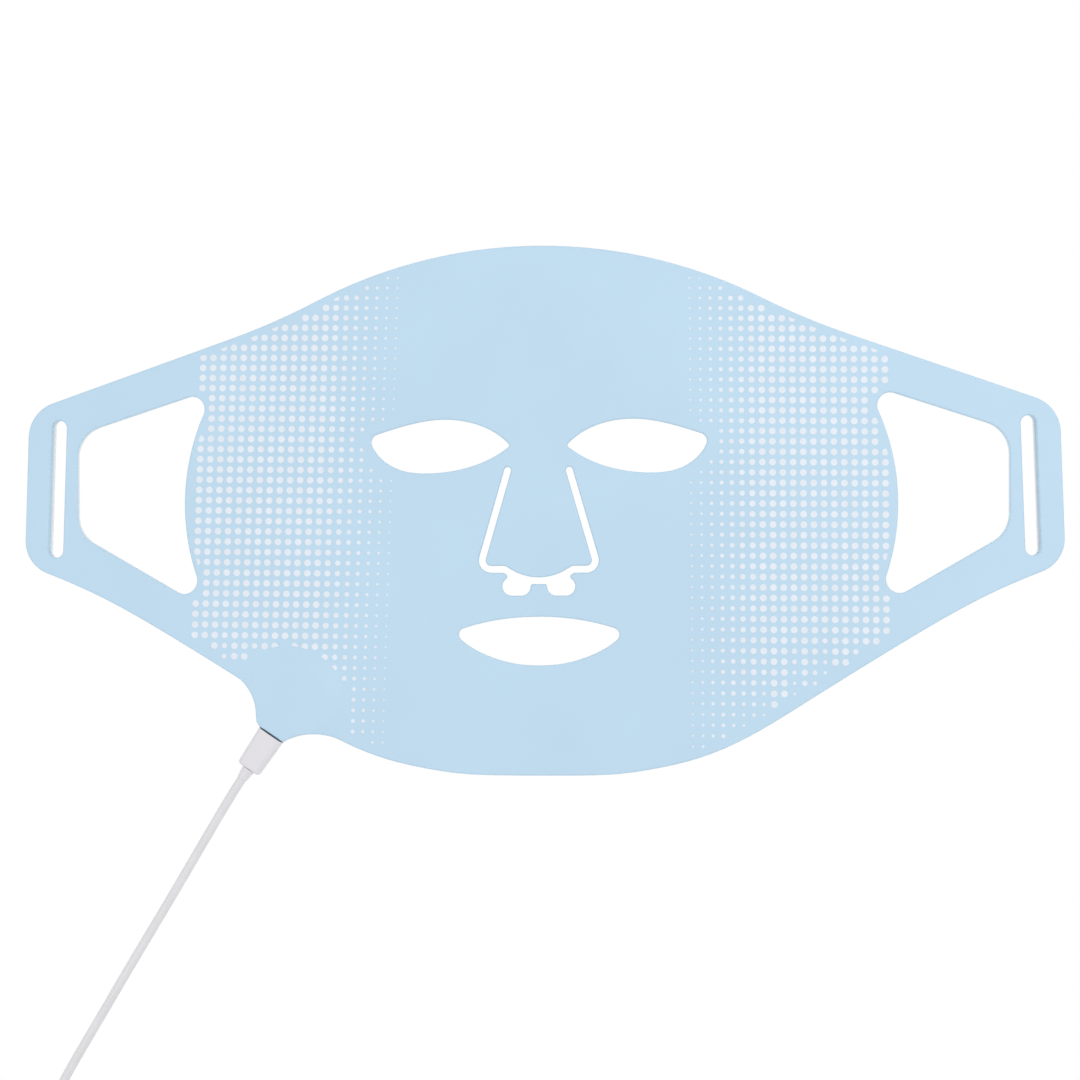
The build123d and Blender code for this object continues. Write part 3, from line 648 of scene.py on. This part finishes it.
# ---------------------------------------------------------------- lamp windows on the skin side
WINDOW_LOW, WINDOW_HIGH = -0.02 * MM, 0.05 * MM


def lamp_places(node):
    """Centres of a node's lamps to the nearest 5 mm, from their downward faces."""
    mesh = frame["nodes"][node].data
    return sorted({(round(p.center.x / MM / 5) * 5 * MM, round(p.center.y / MM / 5) * 5 * MM)
                   for p in mesh.polygons if p.normal.z < -0.9})


def window_mesh(places, radius=2.3 * MM, corners=24):
    """Thin round windows, one over each lamp."""
    mesh = bmesh.new()
    angles = [2 * pi * k / corners for k in range(corners)]
    rim_points = [(radius * cos(angle), radius * sin(angle)) for angle in angles]
    for x, y in places:
        low = [mesh.verts.new((x + u, y + v, WINDOW_LOW)) for u, v in rim_points]
        high = [mesh.verts.new((x + u, y + v, WINDOW_HIGH)) for u, v in rim_points]
        mesh.faces.new(low[::-1])
        mesh.faces.new(high)
        for i in range(corners):
            mesh.faces.new((low[i - 1], low[i], high[i], high[i - 1]))
    return mesh


ZONE_BODIES = {
    "centre": "face_panel",
    "left_cheek": "left_cheek",
    "right_cheek": "right_cheek",
    "nose": "nose_flap",
}
for zone, body in ZONE_BODIES.items():
    places = [p for kind in ("red_leds", "infrared_leds") for p in lamp_places(f"{kind}_{zone}")]
    piece = new_piece(f"lamp_windows_{zone}", window_mesh(places), lamp_window)
    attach(piece, body)

# ---------------------------------------------------------------- painted shadow gap at the port's seat
# a thin dark slate oval at the seat, a painted shadow for the gap between the plug and the mask
SHADOW_GAP_WIDTH, SHADOW_GAP_HEIGHT = 10.7 * MM, 6.4 * MM
SHADOW_GAP_START, SHADOW_GAP_END = -0.3 * MM, 0.02 * MM  # from the seat into the mask
shadow_gap_bar = oval_bar(SHADOW_GAP_WIDTH, SHADOW_GAP_HEIGHT, SHADOW_GAP_START, SHADOW_GAP_END)
shadow_gap_piece = new_piece("port_painted_shadow", shadow_gap_bar, painted_gap_shadow)
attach(shadow_gap_piece, "right_cheek")

# ---------------------------------------------------------------- lead
CORD_DIAMETER = 3.5 * MM
CORD_LIE = 1.78 * MM
ROUTE = [
    (-0.1163, -0.1059, 0.0034),
    (-0.1299, -0.1285, 0.0022),
    (-0.1422, -0.1492, CORD_LIE),
    (-0.1549, -0.1700, CORD_LIE),
    (-0.1671, -0.1906, CORD_LIE),
    (-0.1792, -0.2109, CORD_LIE),
    (-0.1853, -0.2220, 0.0020),
]
TAIL = [
    (-0.1475, -0.2712, 0.0098),
    (-0.1400, -0.2722, 0.0081),
    (-0.1320, -0.2734, 0.0054),
    (-0.1235, -0.2744, 0.00384),
    (-0.1155, -0.2745, 0.00382),
]
COIL_CENTRE = (-0.166, -0.250)
COIL_RADIUS = 24.7 * MM
COIL_LOW = 2.6 * MM
COIL_PITCH, COIL_LAYER_PITCH = 3.75 * MM, 3.7 * MM
TURNS_PER_LAYER = 3
TOP_TURNS = 1.25
LAYER_CLIMB = 3  # a layer is climbed onto in a third of a turn
POINTS_PER_TURN = 16


def coil_points():
    """Three turns wind in at the bottom, three wind out on them, and a little over one lies on top."""
    points = []
    turns = 2 * TURNS_PER_LAYER + TOP_TURNS
    for step in range(int(turns * POINTS_PER_TURN) + 1):
        turn = step / POINTS_PER_TURN
        layer = min(int(max(turn - 1e-9, 0) // TURNS_PER_LAYER), 2)
        wound_in = turn - TURNS_PER_LAYER * layer
        climb = min(1.0, wound_in * LAYER_CLIMB) if layer else 0
        if layer == 1:
            wound_in = TURNS_PER_LAYER - wound_in
        radius = (COIL_RADIUS - COIL_PITCH * wound_in) / cos(pi / POINTS_PER_TURN)
        angle = pi + 2 * pi * turn
        height = COIL_LOW + COIL_LAYER_PITCH * (layer - 1 + climb if layer else 0)
        points.append((COIL_CENTRE[0] + radius * cos(angle), COIL_CENTRE[1] + radius * sin(angle), height))
    return points


def cord_piece(name, points, body):
    """A round cord along a smooth line that follows the points and rides on a body."""
    curve = bpy.data.curves.new(name, "CURVE")
    curve.dimensions = "3D"
    spline = curve.splines.new("NURBS")
    spline.points.add(len(points) - 1)
    for point, place in zip(spline.points, points):
        point.co = (*place, 1)
    spline.order_u = 3
    spline.use_endpoint_u = True
    spline.resolution_u = 6
    curve.bevel_depth = CORD_DIAMETER / 2
    curve.bevel_resolution = 5
    curve.use_fill_caps = True
    curve.materials.append(cord_jacket)
    piece = bpy.data.objects.new(name, curve)
    scene.collection.objects.link(piece)
    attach(piece, body)
    return piece


CORD_EXIT = (-0.112923, -0.100955, 0.0034)
cord = cord_piece("lead_cord_jacket", [CORD_EXIT, *ROUTE, *coil_points(), *TAIL], "lead")
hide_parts("lead_cord", "lead_coil", "lead_tail")

# ---------------------------------------------------------------- camera, light and background
CAMERA_DISTANCE = 0.8
CAMERA_TARGET = Vector((0.00057, -0.01087, PANEL_TOP))
CAMERA_TILT = [radians(angle) for angle in (0.653, -3.014, 0.16)]
camera_data = bpy.data.cameras.new("camera")
camera_data.sensor_width = 36
camera_data.lens = 71.07
camera = bpy.data.objects.new("camera", camera_data)
turn = (Matrix.Rotation(CAMERA_TILT[2], 3, "Z") @ Matrix.Rotation(CAMERA_TILT[1], 3, "Y")
        @ Matrix.Rotation(CAMERA_TILT[0], 3, "X")).transposed()
camera_place = CAMERA_TARGET + turn @ Vector((0, 0, CAMERA_DISTANCE))
camera.matrix_world = Matrix.Translation(camera_place) @ turn.to_4x4()
scene.collection.objects.link(camera)
scene.camera = camera


def area_light(name, place, size, power):
    """A square white light that faces the origin."""
    data = bpy.data.lights.new(name, "AREA")
    data.size = size
    data.energy = power
    lamp = bpy.data.objects.new(name, data)
    lamp.location = place
    lamp.rotation_euler = (-Vector(place)).to_track_quat("-Z", "Y").to_euler()
    scene.collection.objects.link(lamp)


area_light("key", (0.7, 0.4, 1.3), 0.9, 7.2)
area_light("fill", (-0.9, -0.2, 1.2), 1.2, 4)

# a plain white floor, low enough for the bent wings; it is seen from above only
FLOOR_HEIGHT = -120 * MM
FLOOR_HALF = 3.0
corner_signs = ((-1, -1), (1, -1), (1, 1), (-1, 1))
floor_corners = [(FLOOR_HALF * x, FLOOR_HALF * y, FLOOR_HEIGHT) for x, y in corner_signs]
floor_mesh = bpy.data.meshes.new("floor")
floor_mesh.from_pydata(floor_corners, [], [(0, 1, 2, 3)])
floor = bpy.data.objects.new("floor", floor_mesh)
scene.collection.objects.link(floor)
floor_paper = bpy.data.materials.new("floor_paper")
floor_paper.use_nodes = True
nodes, links = floor_paper.node_tree.nodes, floor_paper.node_tree.links
nodes.clear()
side = nodes.new("ShaderNodeNewGeometry")
glow = nodes.new("ShaderNodeEmission")
glow.inputs["Color"].default_value = (1, 1, 1, 1)
clear = nodes.new("ShaderNodeBsdfTransparent")
one_sided = nodes.new("ShaderNodeMixShader")
surface = nodes.new("ShaderNodeOutputMaterial")
links.new(side.outputs["Backfacing"], one_sided.inputs["Fac"])
links.new(glow.outputs["Emission"], one_sided.inputs[1])
links.new(clear.outputs["BSDF"], one_sided.inputs[2])
links.new(one_sided.outputs["Shader"], surface.inputs["Surface"])
floor_mesh.materials.append(floor_paper)

# the surround is white where it is seen, and lights the mask more dimly
world = bpy.data.worlds.new("studio")
scene.world = world
world.use_nodes = True
nodes, links = world.node_tree.nodes, world.node_tree.links
nodes.clear()
seen = nodes.new("ShaderNodeBackground")
seen.inputs["Color"].default_value = (1, 1, 1, 1)
seen.inputs["Strength"].default_value = 1.0
ambient = nodes.new("ShaderNodeBackground")
ambient.inputs["Color"].default_value = (0.95, 0.97, 1, 1)
ambient.inputs["Strength"].default_value = 0.64
path = nodes.new("ShaderNodeLightPath")
mix = nodes.new("ShaderNodeMixShader")
output = nodes.new("ShaderNodeOutputWorld")
links.new(path.outputs["Is Camera Ray"], mix.inputs["Fac"])
links.new(ambient.outputs["Background"], mix.inputs[1])
links.new(seen.outputs["Background"], mix.inputs[2])
links.new(mix.outputs["Shader"], output.inputs["Surface"])
scene.view_settings.view_transform = "Standard"
